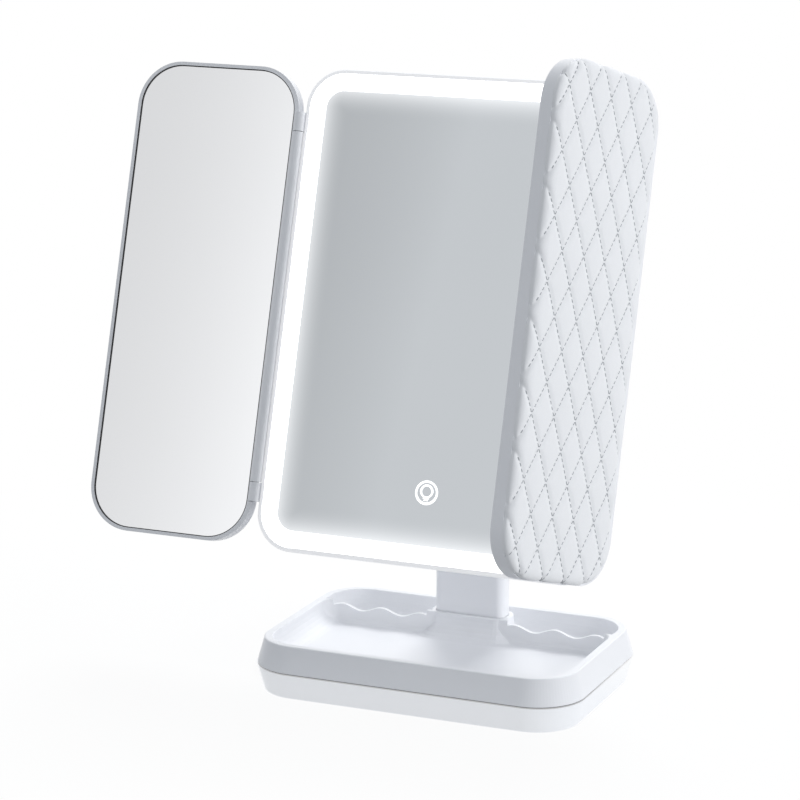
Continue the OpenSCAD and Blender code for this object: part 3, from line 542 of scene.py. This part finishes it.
def make_cover(side):
    top = cover_surface()
    nz, nx, _ = top.shape
    idx = np.arange(nz * nx).reshape(nz, nx)
    faces = [(int(a), int(b), int(c), int(d)) for a, b, c, d in zip(
        idx[:-1, :-1].ravel(), idx[:-1, 1:].ravel(), idx[1:, 1:].ravel(), idx[1:, :-1].ravel())]
    rim = np.concatenate([idx[0, :], idx[1:, -1], idx[-1, -2::-1], idx[-2:0:-1, 0]])
    flat = top.reshape(-1, 3)
    verts = [flat]
    count = nz * nx
    last = rim
    centre = np.array([(COVER_X0 + COVER_X1) / 2, 0, (COVER_Z0 + COVER_Z1) / 2])
    # the hem runs down to the frame and turns under
    for drop, pull in HEM_RINGS:
        ring = flat[rim].copy()
        ring[:, 1] = COVER_FOOT + drop
        away = ring - centre
        for way in (0, 2):
            ring[:, way] -= np.sign(away[:, way]) * pull * np.minimum(1, np.abs(away[:, way]) / HEM_EASE)
        verts.append(ring)
        now = np.arange(count, count + len(rim))
        faces += [(int(last[i]), int(now[i]), int(now[(i + 1) % len(rim)]), int(last[(i + 1) % len(rim)]))
                  for i in range(len(rim))]
        count += len(rim)
        last = now
    faces.append(tuple(int(i) for i in last[::-1]))
    cover = wing_piece("_quilted_cover", side, np.concatenate(verts), faces, MATS["leather"])
    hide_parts(side + "_cover")


def stitch_places():
    """The middle and the direction of each stitch, along both families of seams."""
    pitch = math.hypot(DIAMOND_W / 2, DIAMOND_H / 2) / STITCHES_A_SIDE
    slope = DIAMOND_H / DIAMOND_W
    along = np.array([1.0, slope]) / math.hypot(1, slope)
    for family in (1, -1):
        way = np.array([along[0], -family * along[1]])
        for k in range(-20, 21):
            start = np.array([SEAM_X + k * DIAMOND_W, SEAM_Z])
            for t in (np.arange(-120, 120) + 0.5) * pitch:
                x, z = start + way * t
                on_cover = COVER_X0 < x < COVER_X1 and COVER_Z0 < z < COVER_Z1
                if on_cover and inset(np.array(x), np.array(z)) >= STITCH_INSET:
                    yield np.array([x, z]), way


def make_stitches(side):
    """Short thread stitches, each dipping into the cover at its ends."""
    n = STITCH_FACETS
    circle = [(math.cos(a), math.sin(a)) for a in (i * 2 * math.pi / n for i in range(n))]
    verts, faces = [], []
    for middle, way in stitch_places():
        pts = np.array([middle + way * place * STITCH_LENGTH for place, _, _ in STITCH_RINGS])
        spine = place_on(pts[:, 0], pts[:, 1])
        tangent = spine[-1] - spine[0]
        tangent /= np.linalg.norm(tangent)
        sideways = np.cross(tangent, (0, 1, 0))
        sideways /= np.linalg.norm(sideways)
        up = np.cross(sideways, tangent)
        first = len(verts)
        for c, (_, size, lift) in zip(spine, STITCH_RINGS):
            verts += [c + STITCH_RADIUS * size * (sideways * cx + up * cy) + up * lift for cx, cy in circle]
        for b in range(first, first + n * (len(STITCH_RINGS) - 1), n):
            faces += [(b + i, b + (i + 1) % n, b + n + (i + 1) % n, b + n + i) for i in range(n)]
        end = first + n * (len(STITCH_RINGS) - 1)
        faces.append(tuple(first + i for i in range(n - 1, -1, -1)))
        faces.append(tuple(end + i for i in range(n)))
    wing_piece("_stitches", side, verts, faces, THREAD_PAINTED_SHADE)


for wing in ("left", "right"):
    make_cover(wing)
    make_stitches(wing)


# ---------------------------------------------------------------- stage

def stage_sheet(name, corners, place, mat):
    mesh = bpy.data.meshes.new(name)
    mesh.from_pydata(corners, [], [(0, 1, 2, 3)])
    mesh.materials.append(mat)
    sheet = bpy.data.objects.new(name, mesh)
    bpy.context.scene.collection.objects.link(sheet)
    sheet.location = place
    return sheet


def mirrored_tray(m, x, y):
    """How far a point of the table is outside the mirror image of the tray's wall, as seen from EYE."""
    away = None
    for step in range(WALL_STEPS + 1):
        part = step / WALL_STEPS
        # what stands this high is mirrored this share of the way to the point below the eye
        k = RIM_UP * part / (EYE[2] + RIM_UP * part)
        lean = RIM_IN * part
        here = m.rounded_box(m.math("SUBTRACT", x, EYE[0] * k), m.math("SUBTRACT", y, EYE[1] * k),
                             (FOOT_X - lean) * (1 - k), (FOOT_Y - lean) * (1 - k), (TRAY_R - lean) * (1 - k))
        away = here if away is None else m.math("MINIMUM", away, here)
    return away


def make_floor():
    """Glossy pale table: it mirrors the tray's wall close to it and keeps the shadow."""
    m = Nodes("glossy_table")
    x, y, _ = m.split()
    away = m.rounded_box(x, y, TRAY_X, TRAY_Y, TRAY_R)
    gloss = m.math("MAXIMUM", m.span(mirrored_tray(m, x, y), 0.0, 0.0012, 0.52, 0.0), 0.0)
    gloss = m.math("MULTIPLY", gloss, m.span(y, -0.03, 0.06, 1.0, 0.0))
    m.set(Base_Color=(0.93, 0.935, 0.945, 1), Roughness=0.6)
    m.bsdf.inputs["Specular IOR Level"].default_value = 0.0
    # darker to the rays that gather light, so that the table doesn't brighten the object
    dull = m.node("ShaderNodeBsdfDiffuse")
    dull.inputs["Color"].default_value = (0.42, 0.425, 0.435, 1)
    shiny = m.node("ShaderNodeBsdfGlossy")
    shiny.inputs["Color"].default_value = (0.93, 0.96, 1.0, 1)
    shiny.inputs["Roughness"].default_value = 0.0
    lift = m.math("MINIMUM", m.span(away, 0.0, 0.35, 0.9, 1.0), 1.0)
    pale = m.mix_shaders(lift, m.bsdf.outputs[0], m.emission().outputs[0])
    table = m.mix_shaders(m.seen(), dull.outputs[0], pale)
    m.surface(m.mix_shaders(gloss, table, shiny.outputs[0]))
    corners = [(-TABLE, -TABLE, 0), (TABLE, -TABLE, 0), (TABLE, TABLE, 0), (-TABLE, TABLE, 0)]
    stage_sheet("table_top", corners, (0, 0, -0.00005), m.mat)


def make_card():
    """A pale grey card in front on the left, which only the mirrors show: it shades off to white all round."""
    half_x, half_z, foot = 0.38, 1.8, -1.35
    m = Nodes("grey_card")
    x, _, z = m.split()
    grey = 0.24
    for place, half in ((x, half_x), (z, half_z)):
        off = m.math("DIVIDE", m.math("ABSOLUTE", place), half)
        side = m.math("MINIMUM", m.math("MAXIMUM", m.math("SUBTRACT", 1.0, off), 0.0), 1.0)
        grey = m.math("MULTIPLY", m.math("MULTIPLY", side, m.math("SUBTRACT", 2.0, side)), grey)
    lit = m.emission()
    m.link(m.math("SUBTRACT", 1.0, grey), lit.inputs["Strength"])
    m.surface(lit.outputs[0])
    corners = [(-half_x, 0, foot), (half_x, 0, foot), (half_x, 0, half_z), (-half_x, 0, half_z)]
    card = stage_sheet("grey_card", corners, (-1.53, -2.57, 1.4), m.mat)
    for kind in ("camera", "diffuse", "transmission", "volume_scatter", "shadow"):
        setattr(card, "visible_" + kind, False)


def make_world():
    """White where it is seen, and a soft cool light on the object."""
    world = bpy.data.worlds.new("studio")
    bpy.context.scene.world = world
    m = Nodes(world)
    m.tree.nodes.clear()
    m.node("ShaderNodeOutputWorld", name="World Output")

    def background(colour, strength):
        n = m.node("ShaderNodeBackground")
        n.inputs["Color"].default_value = colour
        n.inputs["Strength"].default_value = strength
        return n.outputs[0]

    soft, white = background((0.91, 0.95, 1.0, 1), 0.56), background(WHITE_LIGHT, 1.0)
    m.surface(m.mix_shaders(m.seen(), soft, white), "World Output")


def make_lamp(name, place, target, size, watts):
    data = bpy.data.lights.new(name, "AREA")
    data.shape = "DISK"
    data.size = size
    data.energy = watts
    lamp = bpy.data.objects.new(name, data)
    bpy.context.scene.collection.objects.link(lamp)
    lamp.location = place
    lamp.rotation_euler = (Vector(target) - Vector(place)).to_track_quat("-Z", "Y").to_euler()
    lamp.visible_glossy = False


make_floor()
make_card()
make_world()
make_lamp("key_right", (2.5, 0.0, 0.75), (0, 0, 0.17), 1.4, 30)
make_lamp("rear_soft", (-0.45, 1.9, 2.0), (0, 0, 0.05), 1.5, 47)
bpy.context.scene.view_settings.view_transform = "Standard"

bpy.context.view_layer.update()
